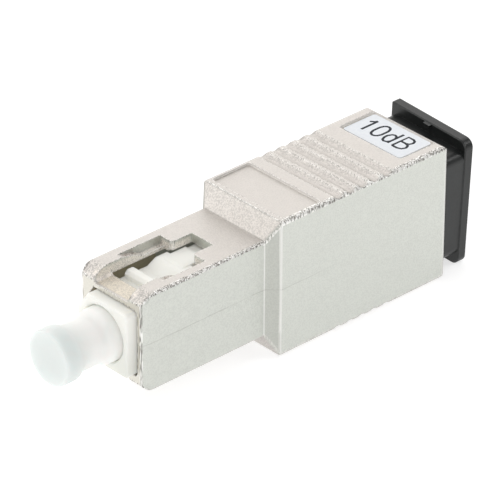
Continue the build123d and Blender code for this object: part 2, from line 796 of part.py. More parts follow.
with BuildPart() as rating_label:
    with BuildSketch(Plane.XY.offset(panel_floor)):
        with Locations((label_x, 0)):
            RectangleRounded(label_length, label_width, label_corner)
    extrude(amount=label_thickness)

os.makedirs("parts", exist_ok=True)

metal_housing.part.label = "metal_housing"
export_step(metal_housing.part, "parts/metal_housing.step")
plug_frame.part.label = "plug_frame"
export_step(plug_frame.part, "parts/plug_frame.step")
ferrule.part.label = "ferrule"
export_step(ferrule.part, "parts/ferrule.step")
attenuating_fibre.part.label = "attenuating_fibre"
export_step(attenuating_fibre.part, "parts/attenuating_fibre.step")
ferrule_collar.part.label = "ferrule_collar"
export_step(ferrule_collar.part, "parts/ferrule_collar.step")
ferrule_spring.part.label = "ferrule_spring"
export_step(ferrule_spring.part, "parts/ferrule_spring.step")
spring_seat.part.label = "spring_seat"
export_step(spring_seat.part, "parts/spring_seat.step")
split_sleeve.part.label = "split_sleeve"
export_step(split_sleeve.part, "parts/split_sleeve.step")
receptacle_latch.part.label = "receptacle_latch"
export_step(receptacle_latch.part, "parts/receptacle_latch.step")
front_dust_cap.part.label = "front_dust_cap"
export_step(front_dust_cap.part, "parts/front_dust_cap.step")
rear_dust_plug.part.label = "rear_dust_plug"
export_step(rear_dust_plug.part, "parts/rear_dust_plug.step")
rating_label.part.label = "rating_label"
export_step(rating_label.part, "parts/rating_label.step")
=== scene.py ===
"""Looks of a fibre attenuator: cast housing, white frame, dust caps and printed label."""

import math

import bmesh
import bpy
import numpy as np
from mathutils import Matrix, Vector
from mathutils.kdtree import KDTree


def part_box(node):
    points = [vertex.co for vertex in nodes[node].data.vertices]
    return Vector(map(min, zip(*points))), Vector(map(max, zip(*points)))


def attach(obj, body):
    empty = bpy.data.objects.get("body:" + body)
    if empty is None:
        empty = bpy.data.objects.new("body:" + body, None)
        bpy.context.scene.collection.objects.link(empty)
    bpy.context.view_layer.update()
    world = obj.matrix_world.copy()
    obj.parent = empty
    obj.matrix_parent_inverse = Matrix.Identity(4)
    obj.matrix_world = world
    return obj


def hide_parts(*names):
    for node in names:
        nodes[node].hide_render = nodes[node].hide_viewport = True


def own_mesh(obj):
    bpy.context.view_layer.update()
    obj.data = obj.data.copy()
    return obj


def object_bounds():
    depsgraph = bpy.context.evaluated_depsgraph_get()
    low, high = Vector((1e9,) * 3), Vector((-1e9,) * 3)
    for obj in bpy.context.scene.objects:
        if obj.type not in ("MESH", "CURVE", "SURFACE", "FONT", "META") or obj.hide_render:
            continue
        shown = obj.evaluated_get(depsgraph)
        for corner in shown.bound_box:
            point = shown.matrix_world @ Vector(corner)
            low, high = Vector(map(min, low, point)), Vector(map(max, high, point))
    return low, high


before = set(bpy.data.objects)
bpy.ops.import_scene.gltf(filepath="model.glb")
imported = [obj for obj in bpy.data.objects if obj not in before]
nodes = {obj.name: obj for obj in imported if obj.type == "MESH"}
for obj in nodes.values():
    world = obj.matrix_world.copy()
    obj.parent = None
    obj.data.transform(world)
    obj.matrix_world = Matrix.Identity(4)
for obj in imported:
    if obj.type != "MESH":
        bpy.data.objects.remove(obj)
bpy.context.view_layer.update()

MM = 0.001

# Camera: angles in degrees, place in metres, lens for a 36 mm sensor
CAMERA_AZIMUTH = -42.790
CAMERA_ELEVATION = 30.796
CAMERA_ROLL = 0.3425
CAMERA_PLACE = (-0.189873, -0.221216, 0.181040)
CAMERA_LENS = 311.737

# Soft boxes: name, place in metres, side in metres, power in watts, colour
SOFT_BOXES = [
    ("back", (0.38, 0.41, 0.34), 0.8, 2.3, (1.0, 0.985, 0.965)),
    ("left_back", (-0.44, 0.38, 0.20), 0.55, 1.4, (1.0, 0.99, 0.97)),
    ("far_top", (-0.14, 0.46, 0.46), 0.45, 0.6, (1.0, 0.985, 0.965)),
    ("overhead", (-0.10, -0.10, 0.7), 0.4, 0.8, (1.0, 1.0, 1.0)),
    ("right_front", (0.34, -0.30, 0.37), 0.16, 0.5, (1.0, 1.0, 1.0)),
    ("camera_side", (-0.40, -0.38, 0.26), 0.4, 0.8, (1.0, 1.0, 1.0)),
]
LIT_POINT = (0.014, 0.0, 0.0)
ROOM_LIGHT = 0.32
FLOOR_REACH = 1.5
FLOOR_TONE = 0.5
FLOOR_GLOW = 0.68

# Bends of the casting: angles in radians and radians per millimetre, lengths in millimetres
SHARP_BEND = math.radians(25.0)
TIGHT_ROUND = math.radians(150.0)
BEND_STEP = 0.04
BEND_LIMIT = 0.4
BEND_ROUNDS = 9
SHORT_EDGE = 0.12
UNEVEN_GAP = 0.04

# Recesses of the casting in millimetres: start, end, half width, half height, softness
RECESSES = {
    "window": (0.1, 9.72, 2.72, 4.47, 0.35),
    "passage": (0.15, 7.5, 3.3, 3.5, 0.15),
    "front": (-1.0, 0.12, 3.55, 3.75, 0.2),
    "ledge": (3.05, 4.75, 2.74, 4.47, 0.12),
    "channel": (0.0, 9.0, 2.16, 5.0, 0.04),
    "notch": (6.7, 7.75, 2.8, 4.46, 0.3),
    "slot": (8.3, 9.9, 1.3, 4.46, 0.6),
}

# Other places on the casting, in millimetres
NOSE_END = 13.1
GRIP_START = 14.0
STEP_MIDDLE = (NOSE_END + GRIP_START) / 2
LEAD_END = 2.0
NOSE_RIM = 3.1
GRIP_RIM = 4.15
NOSE_SHOULDER = 4.1
GRIP_SHOULDER = 5.9

# Tones of the nickel plating; many of them are painted light or shade, as said where each is used
NICKEL = {
    "side": (0.67, 0.685, 0.64, 1.0),
    "top": (0.62, 0.59, 0.56, 1.0),
    "step side": (0.54, 0.55, 0.51, 1.0),
    "window": (0.95, 0.88, 0.80, 1.0),
    "front": (0.86, 0.78, 0.68, 1.0),
    "passage": (0.60, 0.53, 0.37, 1.0),
    "recess_shade": (0.24, 0.19, 0.15, 1.0),
    "slot": (0.33, 0.30, 0.24, 1.0),
    "edge": (0.74, 0.72, 0.69, 1.0),
    "glint": (1.0, 0.99, 0.96, 1.0),
    "dark reflection": (0.18, 0.17, 0.15, 1.0),
    "outline": (0.34, 0.32, 0.29, 1.0),
    "side crease highlight": (0.98, 0.98, 0.95, 1.0),
    "shallow wall": (0.86, 0.83, 0.79, 1.0),
    "seam": (0.40, 0.40, 0.37, 1.0),
}

# Spring of the ferrule, in metres
SPRING_WIRE = 0.00039
SPRING_TURNS = 5.5

# Printed value on the label: strokes in millimetres, across the letter and up it
LETTER_HEIGHT = 1.95
LETTER_SHIFT = 0.17
STROKE = 0.24
INK_THICKNESS = 0.012
VALUE_WIDTH = 5.5
LETTER_STARTS = {"one": 0.50, "zero": 1.33, "d": 2.74, "B": 4.14}
LETTERS = {
    "one": [[(0.0, 0.0), (0.0, 1.0)], [(0.0, 1.0), (-0.07, 0.88), (-0.24, 0.74)]],
    "zero": [[(0.0, 0.3), (0.0, 0.7), (0.06, 0.88), (0.15, 0.97), (0.25, 1.0), (0.35, 0.97), (0.44, 0.88),
              (0.5, 0.7), (0.5, 0.3), (0.44, 0.12), (0.35, 0.03), (0.25, 0.0), (0.15, 0.03), (0.06, 0.12),
              (0.0, 0.3)]],
    "d": [[(0.43, 0.0), (0.43, 1.0)],
          [(0.43, 0.2), (0.34, 0.05), (0.21, 0.0), (0.09, 0.06), (0.0, 0.26), (0.0, 0.44),
           (0.09, 0.64), (0.21, 0.7), (0.34, 0.65), (0.43, 0.5)]],
    "B": [[(0.0, 0.0), (0.0, 1.0), (0.3, 1.0), (0.44, 0.92), (0.5, 0.76), (0.44, 0.6), (0.3, 0.53),
           (0.0, 0.53)],
          [(0.3, 0.53), (0.49, 0.46), (0.57, 0.28), (0.49, 0.08), (0.3, 0.0), (0.0, 0.0)]],
}


# Scene: camera, floor, soft light

def aim_camera():
    """The camera, from its azimuth, elevation and roll."""
    azimuth, elevation, roll = (math.radians(a) for a in (CAMERA_AZIMUTH, CAMERA_ELEVATION, CAMERA_ROLL))
    back = Vector((math.sin(azimuth) * math.cos(elevation),
                   -math.cos(azimuth) * math.cos(elevation),
                   math.sin(elevation)))
    level = Vector((math.cos(azimuth), math.sin(azimuth), 0.0))
    upright = back.cross(level)
    right = math.cos(roll) * level + math.sin(roll) * upright
    up = math.cos(roll) * upright - math.sin(roll) * level
    lens = bpy.data.cameras.new("camera")
    lens.lens = CAMERA_LENS
    lens.sensor_width = 36.0
    lens.clip_start = 0.01
    lens.clip_end = 10.0
    camera = bpy.data.objects.new("camera", lens)
    turn = Matrix((right, up, back)).transposed().to_4x4()
    camera.matrix_world = Matrix.Translation(CAMERA_PLACE) @ turn
    bpy.context.collection.objects.link(camera)
    bpy.context.scene.camera = camera


def soft_light(name, place, size, power, colour):
    """A square soft box that looks at the part."""
    lamp = bpy.data.lights.new(name, "AREA")
    lamp.shape = "SQUARE"
    lamp.size = size
    lamp.energy = power
    lamp.color = colour
    box = bpy.data.objects.new(name, lamp)
    direction = Vector(LIT_POINT) - Vector(place)
    turn = direction.to_track_quat("-Z", "Y").to_matrix().to_4x4()
    box.matrix_world = Matrix.Translation(place) @ turn
    bpy.context.collection.objects.link(box)


def mesh_piece(name, points, faces):
    """A new mesh object at the origin."""
    mesh = bpy.data.meshes.new(name)
    mesh.from_pydata(points, [], faces)
    mesh.update()
    piece = bpy.data.objects.new(name, mesh)
    bpy.context.collection.objects.link(piece)
    return piece


def plain_mesh(name, source):
    """The finished mesh of a curve or of a piece with modifiers, as a new object at the origin."""
    bpy.context.view_layer.update()
    shaped = source.evaluated_get(bpy.context.evaluated_depsgraph_get())
    mesh = bpy.data.meshes.new_from_object(shaped)
    bpy.data.objects.remove(source)
    mesh.name = name
    piece = bpy.data.objects.new(name, mesh)
    bpy.context.collection.objects.link(piece)
    return piece


def lay_floor():
    """The pale floor under the part, which glows a little so that it stays even."""
    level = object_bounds()[0][2]
    corners = [(-FLOOR_REACH, -FLOOR_REACH, level), (FLOOR_REACH, -FLOOR_REACH, level),
               (FLOOR_REACH, FLOOR_REACH, level), (-FLOOR_REACH, FLOOR_REACH, level)]
    floor = mesh_piece("floor", corners, [(0, 1, 2, 3)])
    material, _, shader = new_material("pale floor")
    set_plain(shader, Base_Color=(FLOOR_TONE, FLOOR_TONE, FLOOR_TONE, 1.0), Roughness=0.9,
              Specular_IOR_Level=0.0, Emission_Color=(1.0, 1.0, 1.0, 1.0), Emission_Strength=FLOOR_GLOW)
    floor.data.materials.append(material)


def light_room():
    """An even dim room with the soft boxes in it."""
    world = bpy.data.worlds.new("soft room")
    bpy.context.scene.world = world
    world.use_nodes = True
    background = world.node_tree.nodes["Background"]
    background.inputs["Color"].default_value = (1.0, 1.0, 1.0, 1.0)
    background.inputs["Strength"].default_value = ROOM_LIGHT
    for box in SOFT_BOXES:
        soft_light(*box)


# Shader node groups

def shader_group(name, inputs, outputs):
    """An empty group with its sockets; inputs are (name, kind, value) and outputs (name, kind)."""
    tree = bpy.data.node_groups.new(name, "ShaderNodeTree")
    for label, kind, value in inputs:
        socket = tree.interface.new_socket(name=label, in_out="INPUT", socket_type="NodeSocket" + kind)
        socket.default_value = value
    for label, kind in outputs:
        tree.interface.new_socket(name=label, in_out="OUTPUT", socket_type="NodeSocket" + kind)
    return tree


class Wiring:
    """Adds nodes to a tree and links them in short lines."""

    def __init__(self, tree):
        self.tree = tree

    def node(self, kind, settings=None, **inputs):
        """A new node with its settings and inputs; an input's name has _ in place of a space."""
        made = self.tree.nodes.new(kind)
        for key, value in (settings or {}).items():
            setattr(made, key, value)
        for key, value in inputs.items():
            self.feed(made.inputs[key.replace("_", " ")], value)
        return made

    def feed(self, socket, value):
        """Links another socket to an input, or sets the input to a constant."""
        if isinstance(value, bpy.types.NodeSocket):
            self.tree.links.new(value, socket)
        else:
            socket.default_value = value

    def math(self, operation, first, second=0.0, third=0.0):
        """One Math node."""
        made = self.node("ShaderNodeMath", {"operation": operation})
        for socket, value in zip(made.inputs, (first, second, third)):
            self.feed(socket, value)
        return made.outputs[0]

    def product(self, *factors):
        """All factors multiplied."""
        result = factors[0]
        for factor in factors[1:]:
            result = self.math("MULTIPLY", result, factor)
        return result

    def greatest(self, *values):
        """The largest of the values."""
        result = values[0]
        for value in values[1:]:
            result = self.math("MAXIMUM", result, value)
        return result

    def remainder(self, share):
        """What is left of one."""
        return self.math("SUBTRACT", 1.0, share)

    def point(self):
        """The shaded point's place on the part, as one vector."""
        return self.node("ShaderNodeTexCoord").outputs["Object"]

    def place(self):
        """The shaded point's place on the part, split into X, Y and Z."""
        return self.node("ShaderNodeSeparateXYZ", Vector=self.point())

    def ramp(self, value, low, high, start=0.0, end=1.0):
        """Smooth step from start to end as value goes from low to high."""
        made = self.node("ShaderNodeMapRange", {"interpolation_type": "SMOOTHSTEP"})
        for label, number in (("Value", value), ("From Min", low), ("From Max", high),
                              ("To Min", start), ("To Max", end)):
            self.feed(made.inputs[label], number)
        return made.outputs["Result"]

    def mix(self, share, first, second, blend="MIX"):
        """Two colours mixed by a share of the second."""
        made = self.node("ShaderNodeMix", {"data_type": "RGBA", "blend_type": blend})
        self.feed(made.inputs[0], share)
        self.feed(made.inputs[6], first)
        self.feed(made.inputs[7], second)
        return made.outputs[2]

    def noise(self, vector, scale, detail=2.0, roughness=0.5):
        """Even noise, from about zero to one."""
        made = self.node("ShaderNodeTexNoise", {"noise_dimensions": "3D"})
        for label, value in (("Vector", vector), ("Scale", scale), ("Detail", detail),
                             ("Roughness", roughness)):
            self.feed(made.inputs[label], value)
        return made.outputs["Fac"]

    def group(self, tree, **inputs):
        """A node group with its inputs."""
        return self.node("ShaderNodeGroup", {"node_tree": tree}, **inputs)


def grain_group():
    """Fine even grain, as bead blasting or a spark-eroded mould leaves: a height and a tone."""
    tree = shader_group("fine grain", [("Size", "Float", 0.15), ("Softness", "Float", 0.5)],
                        [("Height", "Float"), ("Tone", "Float")])
    w = Wiring(tree)
    given = w.node("NodeGroupInput")
    place = w.point()
    scale = w.math("DIVIDE", 1.0 / MM, given.outputs["Size"])
    pits = w.noise(place, scale, 3.0, given.outputs["Softness"])
    broad = w.noise(place, w.math("MULTIPLY", scale, 0.22), 2.0, 0.5)
    put = w.node("NodeGroupOutput")
    w.feed(put.inputs["Height"], pits)
    w.feed(put.inputs["Tone"], w.math("MULTIPLY_ADD", pits, 0.85, w.math("MULTIPLY", broad, 0.15)))
    return tree


def edge_group():
    """Rubbed edge of a moulding, by how much the surface turns within a reach."""
    tree = shader_group("rubbed edge", [("Reach", "Float", 0.3), ("Speck", "Float", 0.12)],
                        [("Edge", "Float")])
    w = Wiring(tree)
    given = w.node("NodeGroupInput")
    soft = w.node("ShaderNodeBevel", {"samples": 8})
    w.feed(soft.inputs["Radius"], w.math("MULTIPLY", given.outputs["Reach"], MM))
    turn = w.node("ShaderNodeVectorMath", {"operation": "DOT_PRODUCT"})
    w.feed(turn.inputs[0], soft.outputs["Normal"])
    w.feed(turn.inputs[1], w.node("ShaderNodeNewGeometry").outputs["True Normal"])
    bend = w.ramp(turn.outputs["Value"], 0.995, 0.90)
    place = w.point()
    specks = w.noise(place, w.math("DIVIDE", 1.0 / MM, given.outputs["Speck"]), 1.0, 0.5)
    put = w.node("NodeGroupOutput")
    w.feed(put.inputs["Edge"], w.math("MULTIPLY", bend, w.ramp(specks, 0.35, 0.6)))
    return tree


def speckled_edge_group():
    """Bends of the casting, from its marked distances to them: outer ones with specks, and corners."""
    tree = shader_group("speckled edge", [("Reach", "Float", 0.1), ("Speck", "Float", 0.12)],
                        [("Edge", "Float"), ("Bright", "Float"), ("Dark", "Float"), ("Corner", "Float")])
    w = Wiring(tree)
    given = w.node("NodeGroupInput")
    drawn = w.node("ShaderNodeMapping", Vector=w.point(), Scale=(1.0, 1.0, 0.12))
    scale = w.math("DIVIDE", 1.0 / MM, given.outputs["Speck"])
    specks = w.noise(drawn.outputs["Vector"], scale, 1.0, 0.5)
    reach = given.outputs["Reach"]
    outer = w.node("ShaderNodeAttribute", {"attribute_name": "outer bend"}).outputs["Fac"]
    inner = w.node("ShaderNodeAttribute", {"attribute_name": "inner bend"}).outputs["Fac"]
    near = w.ramp(outer, w.math("MULTIPLY", reach, 1.5), w.math("MULTIPLY", reach, 0.7))
    corner = w.ramp(inner, w.math("MULTIPLY", reach, 1.3), 0.0)
    put = w.node("NodeGroupOutput")
    w.feed(put.inputs["Edge"], near)
    w.feed(put.inputs["Bright"], w.math("MULTIPLY", near, w.ramp(specks, 0.45, 0.57)))
    w.feed(put.inputs["Dark"], w.math("MULTIPLY", near, w.ramp(specks, 0.48, 0.38)))
    w.feed(put.inputs["Corner"], corner)
    return tree


def mottle_group():
    """Slow drift of tone over a surface, about one, in patches of a given size."""
    tree = shader_group("slow mottle", [("Size", "Float", 3.0), ("Strength", "Float", 0.1)],
                        [("Tone", "Float")])
    w = Wiring(tree)
    given = w.node("NodeGroupInput")
    place = w.point()
    drift = w.noise(place, w.math("DIVIDE", 1.0 / MM, given.outputs["Size"]), 4.0, 0.55)
    spread = w.math("MULTIPLY", w.math("SUBTRACT", drift, 0.5), given.outputs["Strength"])
    put = w.node("NodeGroupOutput")
    w.feed(put.inputs["Tone"], w.math("ADD", spread, 1.0))
    return tree


def seam_group():
    """The mould's parting line: thin, wavering, at one height, and polished away towards the rear."""
    tree = shader_group("parting line", [("Height", "Float", 0.0), ("Width", "Float", 0.06)],
                        [("Line", "Float")])
    w = Wiring(tree)
    given = w.node("NodeGroupInput")
    place = w.point()
    parts = w.place()
    waver = w.math("MULTIPLY", w.math("SUBTRACT", w.noise(place, 900.0, 2.0), 0.5), 0.14 * MM)
    level = w.math("MULTIPLY", given.outputs["Height"], MM)
    off = w.math("ABSOLUTE", w.math("SUBTRACT", w.math("ADD", parts.outputs["Z"], waver), level))
    thin = w.math("MULTIPLY", given.outputs["Width"], MM)
    line = w.ramp(off, thin, 0.0)
    fading = w.math("MULTIPLY", w.ramp(w.noise(place, 320.0, 3.0), 0.40, 0.55, 0.45, 1.0),
                    w.ramp(parts.outputs["X"], 15.0 * MM, 22.0 * MM, 1.0, 0.0))
    put = w.node("NodeGroupOutput")
    w.feed(put.inputs["Line"], w.math("MULTIPLY", line, fading))
    return tree


def recess_group():
    """How far a point lies inside a box centred on the optical axis, with soft sides."""
    tree = shader_group("recess", [("Start", "Float", 0.0), ("End", "Float", 10.0),
                                   ("Half Width", "Float", 3.0), ("Half Height", "Float", 4.0),
                                   ("Softness", "Float", 0.2)],
                        [("Inside", "Float")])
    w = Wiring(tree)
    given = w.node("NodeGroupInput")
    parts = w.place()

    def within(distance, limit):
        edge = w.math("MULTIPLY", limit, MM)
        start = w.math("SUBTRACT", edge, w.math("MULTIPLY", given.outputs["Softness"], MM))
        return w.ramp(distance, edge, start)

    middle = w.math("MULTIPLY", w.math("ADD", given.outputs["Start"], given.outputs["End"]), 0.5 * MM)
    along = w.math("ABSOLUTE", w.math("SUBTRACT", parts.outputs["X"], middle))
    length = w.math("SUBTRACT", given.outputs["End"], given.outputs["Start"])
    half_length = w.math("MULTIPLY", length, 0.5)
    inside = w.product(within(along, half_length),
                       within(w.math("ABSOLUTE", parts.outputs["Y"]), given.outputs["Half Width"]),
                       within(w.math("ABSOLUTE", parts.outputs["Z"]), given.outputs["Half Height"]))
    put = w.node("NodeGroupOutput")
    w.feed(put.inputs["Inside"], inside)
    return tree


GRAIN = grain_group()
EDGE = edge_group()
SPECKLED_EDGE = speckled_edge_group()
MOTTLE = mottle_group()
SEAM = seam_group()
RECESS = recess_group()


# Materials

def new_material(name):
    """A material with an empty tree, its wiring, its shader and its output."""
    material = bpy.data.materials.new(name)
    material.use_nodes = True
    material.node_tree.nodes.clear()
    w = Wiring(material.node_tree)
    shader = w.node("ShaderNodeBsdfPrincipled")
    out = w.node("ShaderNodeOutputMaterial")
    material.node_tree.links.new(shader.outputs[0], out.inputs[0])
    return material, w, shader


def set_plain(shader, **values):
    """Constants straight on the shader's own sockets."""
    for key, value in values.items():
        shader.inputs[key.replace("_", " ")].default_value = value


def bumped(w, shader, height, strength, distance):
    """A Bump node on the shader's normal, with its distance in millimetres."""
    made = w.node("ShaderNodeBump")
    made.inputs["Strength"].default_value = strength
    made.inputs["Distance"].default_value = distance * MM
    w.feed(made.inputs["Height"], height)
    w.feed(shader.inputs["Normal"], made.outputs["Normal"])
    return made


class CastingZones:
    """Masks of where a point of the casting lies and how it faces."""

    def __init__(self, w):
        place = w.place()
        facing = w.node("ShaderNodeNewGeometry").outputs["True Normal"]
        turned = w.node("ShaderNodeSeparateXYZ", Vector=facing)
        level = w.node("ShaderNodeVectorMath", {"operation": "ABSOLUTE"})
        w.feed(level.inputs[0], facing)
        sides = w.node("ShaderNodeSeparateXYZ", Vector=level.outputs[0])
        self.along = place.outputs["X"]
        self.across = w.math("ABSOLUTE", place.outputs["Y"])
        self.height = w.math("ABSOLUTE", place.outputs["Z"])
        self.rise = w.math("ABSOLUTE", turned.outputs["Z"])
        self.upward = w.ramp(self.rise, 0.2, 0.45)

        # Lengths of the casting
        self.grip = w.ramp(self.along, NOSE_END * MM, GRIP_START * MM)
        from_step = w.math("ABSOLUTE", w.math("SUBTRACT", self.along, STEP_MIDDLE * MM))
        self.step = w.ramp(from_step, 1.0 * MM, 0.7 * MM)

        # Inner rims, and the edges whose specks would fray the silhouette
        rim = w.math("MULTIPLY_ADD", self.grip, (GRIP_RIM - NOSE_RIM) * MM, NOSE_RIM * MM)
        inner = w.ramp(self.across, rim, w.math("SUBTRACT", rim, 0.25 * MM))
        self.rims = w.product(inner, w.remainder(self.step))
        far = w.ramp(place.outputs["Y"], w.math("SUBTRACT", rim, 0.05 * MM), w.math("ADD", rim, 0.1 * MM))
        far = w.product(far, w.ramp(self.along, 0.5 * MM, 0.9 * MM))
        low = w.ramp(place.outputs["Z"], -3.9 * MM, -4.2 * MM, 0.0, 0.85)
        self.seen = w.remainder(w.product(w.greatest(far, low), 0.9))

        # Upright edges behind the nose's front
        shoulder = w.math("MULTIPLY_ADD", self.grip, (GRIP_SHOULDER - NOSE_SHOULDER) * MM,
                          NOSE_SHOULDER * MM)
        below = w.ramp(self.height, shoulder, w.math("SUBTRACT", shoulder, 0.3 * MM))
        self.upright = w.product(below, w.ramp(self.along, 5.0 * MM, 6.0 * MM))

        # Slanted faces, and the far rounds that face away, which get a painted dark shade line
        squareness = w.greatest(sides.outputs["X"], sides.outputs["Y"], sides.outputs["Z"])
        slanted = w.ramp(squareness, 0.998, 0.95)
        past_lead = w.ramp(self.along, LEAD_END * MM, (LEAD_END + 1.0) * MM, 0.8, 0.4)
        self.lead = w.product(slanted, self.upward, past_lead)
        self.step_side = w.product(slanted, self.step, w.remainder(self.upward))
        away = turned.outputs["Y"]
        self.outline = w.product(w.ramp(away, 0.12, 0.35), w.ramp(away, 0.99, 0.93), 0.6)


def recess_masks(w):
    """A mask for each recess of the casting."""
    masks = {}
    for name, (start, end, half_width, half_height, softness) in RECESSES.items():
        recess = w.group(RECESS, Start=start, End=end, Half_Width=half_width, Half_Height=half_height,
                         Softness=softness)
        masks[name] = recess.outputs["Inside"]
    return masks


def nickel_with_painted_light_and_shade(w, zones, masks, grain, drift):
    """Tone of the blasted faces, with painted light and shade on them and in the recesses."""
    # painted light: upward faces and sides get their own lit and shaded tones of the plating
    body = w.mix(zones.upward, NICKEL["side"], NICKEL["top"])
    # painted shade: a greyer tone on the slanted sides of the step
    body = w.mix(zones.step_side, body, NICKEL["step side"])
    speck = w.ramp(grain, 0.40, 0.58, w.math("MULTIPLY_ADD", zones.lead, -0.22, 0.94),
                   w.math("MULTIPLY_ADD", zones.lead, 0.12, 1.03))
    shaded = w.node("ShaderNodeVectorMath", {"operation": "SCALE"})
    w.feed(shaded.inputs[0], body)
    w.feed(shaded.inputs["Scale"], w.product(speck, drift))
    # painted light: paler, warmer walls inside the window
    colour = w.mix(w.product(masks["window"], 0.7), shaded.outputs[0], NICKEL["window"])
    colour = w.mix(w.product(masks["front"], 0.6), colour, NICKEL["front"])
    # painted shade: a darker olive tone in the passages and gaps around the frame
    colour = w.mix(w.product(masks["passage"], 0.7), colour, NICKEL["passage"])
    # painted shade: dark patches on the ledge and in the notch
    on_ledge = w.product(masks["ledge"], w.remainder(masks["channel"]))
    recess_shade = w.greatest(on_ledge, w.product(masks["notch"], 0.4))
    recess_shade = w.product(recess_shade, w.ramp(grain, 0.56, 0.42, 0.25, 0.95))
    colour = w.mix(recess_shade, colour, NICKEL["recess_shade"])
    # painted shade: a darker tone around the slot
    return w.mix(w.product(masks["slot"], 0.6), colour, NICKEL["slot"])


def edge_specks(w, zones, edge):
    """Shares of painted highlight and of painted dark reflection at the casting's edges."""
    speckled = w.product(zones.seen, w.remainder(zones.upright))
    highlight = w.product(edge["Bright"], w.math("MULTIPLY_ADD", zones.rims, -0.72, 1.0), speckled)
    plain = w.product(edge["Edge"], zones.upright, zones.seen, 0.35)
    dark = w.product(edge["Dark"], w.math("MULTIPLY_ADD", zones.rims, -0.2, 0.75), speckled)
    return w.math("ADD", highlight, plain), dark


def cast_nickel():
    """Zinc casting, bead blasted and nickel plated: warm pale grey, with painted highlights and dark
    reflections speckled on its edges, painted light in the window and painted shade in the other
    recesses.
    """
    material, w, shader = new_material("cast nickel")
    grain = w.group(GRAIN, Size=0.13, Softness=0.6).outputs
    edge = w.group(SPECKLED_EDGE, Reach=0.08, Speck=0.1).outputs
    drift = w.group(MOTTLE, Size=2.5, Strength=0.03).outputs["Tone"]
    seam = w.group(SEAM, Height=0.0, Width=0.06).outputs["Line"]
    zones = CastingZones(w)
    masks = recess_masks(w)
    highlight, dark = edge_specks(w, zones, edge)

    colour = nickel_with_painted_light_and_shade(w, zones, masks, grain["Tone"], drift)
    # painted highlight: a paler band along the outer bends
    colour = w.mix(w.product(edge["Edge"], 0.35), colour, NICKEL["edge"])
    # painted highlight: glints speckled along the edges, plainer on upright edges
    colour = w.mix(w.product(highlight, 0.95), colour, NICKEL["glint"])
    # painted dark reflection: dark specks along the edges
    colour = w.mix(dark, colour, NICKEL["dark reflection"])
    # painted shade: a dark line in the crease at the top of the step and along far rounds that face away
    crease = w.product(edge["Corner"], zones.step, zones.upward, 0.6)
    colour = w.mix(w.greatest(zones.outline, crease), colour, NICKEL["outline"])
    # painted highlight: a pale line in the inner crease on the step's sides
    side_crease_highlight = w.product(edge["Corner"], zones.step, w.ramp(zones.upward, 0.3, 0.0))
    colour = w.mix(w.product(side_crease_highlight, 0.7), colour, NICKEL["side crease highlight"])
    # painted light: paler walls of the grip's panel recesses and inner corners of its rims
    panel_wall_light = w.product(w.ramp(zones.height, 5.9 * MM, 6.0 * MM), w.ramp(zones.rise, 0.35, 0.2),
                           w.ramp(zones.across, 4.42 * MM, 4.35 * MM),
                           w.ramp(zones.along, 14.2 * MM, 14.4 * MM))
    painted_light = w.greatest(panel_wall_light, w.product(edge["Corner"], zones.rims, zones.grip))
    colour = w.mix(painted_light, colour, NICKEL["shallow wall"])
    rough_cast = w.greatest(masks["window"], w.product(zones.lead, 0.6))
    colour = w.mix(rough_cast, colour, w.ramp(grain["Tone"], 0.42, 0.58, 0.84, 1.1), "MULTIPLY")
    w.feed(shader.inputs["Base Color"], w.mix(w.product(seam, 0.48), colour, NICKEL["seam"]))

    w.feed(shader.inputs["Roughness"], w.math("MULTIPLY_ADD", grain["Height"], 0.15, 0.34))
    matt = w.greatest(w.product(masks["window"], 0.7), painted_light, w.product(side_crease_highlight, 0.6))
    w.feed(shader.inputs["Metallic"], w.math("SUBTRACT", 0.9, matt))
    height = w.math("ADD", grain["Height"], w.product(seam, 0.3))
    height = w.math("ADD", height, w.product(highlight, 0.4))
    rounded = w.node("ShaderNodeBevel", {"samples": 8})
    rounded.inputs["Radius"].default_value = 0.08 * MM
    bump = bumped(w, shader, height, 1.0, 0.04)
    w.feed(bump.inputs["Normal"], rounded.outputs["Normal"])
    return material


def moulded(name, colour, deep, grain_size, rough, gloss, edge_colour, edge_share):
    """Moulded plastic: drifting tone, fine grain and slightly rubbed edges."""
    material, w, shader = new_material(name)
    grain = w.group(GRAIN, Size=grain_size, Softness=0.5)
    edge = w.group(EDGE, Reach=0.22, Speck=0.35).outputs["Edge"]
    drift = w.group(MOTTLE, Size=1.8, Strength=0.5).outputs["Tone"]
    body = w.mix(w.ramp(drift, 0.85, 1.15), deep, colour)
    w.feed(shader.inputs["Base Color"], w.mix(w.product(edge, edge_share), body, edge_colour))
    w.feed(shader.inputs["Roughness"], w.math("MULTIPLY_ADD", grain.outputs["Tone"], 0.2, rough))
    bumped(w, shader, grain.outputs["Height"], 0.25, 0.012)
    set_plain(shader, Specular_IOR_Level=gloss)
    return material, w, shader


def tint(w, shader, share, tone):
    """Mixes another tone over the base colour that a shader has."""
    body = shader.inputs["Base Color"].links[0].from_socket
    w.feed(shader.inputs["Base Color"], w.mix(share, body, tone))


def white_moulding():
    """Milky white moulding of the frame and the latch, with painted shade greying its lower side and a
    faint painted glow.
    """
    material, w, shader = moulded("white moulding", (0.85, 0.845, 0.805, 1.0), (0.82, 0.815, 0.77, 1.0),
                                  0.35, 0.42, 0.35, (0.86, 0.86, 0.84, 1.0), 0.5)
    # painted shade: greyer towards the lower side
    lower = w.ramp(w.place().outputs["Z"], 1.0 * MM, -3.5 * MM, 0.0, 0.85)
    tint(w, shader, lower, (0.68, 0.69, 0.645, 1.0))
    # the faint emission is a painted glow that brightens the white
    set_plain(shader, Subsurface_Weight=0.5, Subsurface_Scale=1.0 * MM,
              Subsurface_Radius=(1.0, 0.95, 0.85),
              Emission_Color=(0.86, 0.86, 0.80, 1.0), Emission_Strength=0.07)
    return material


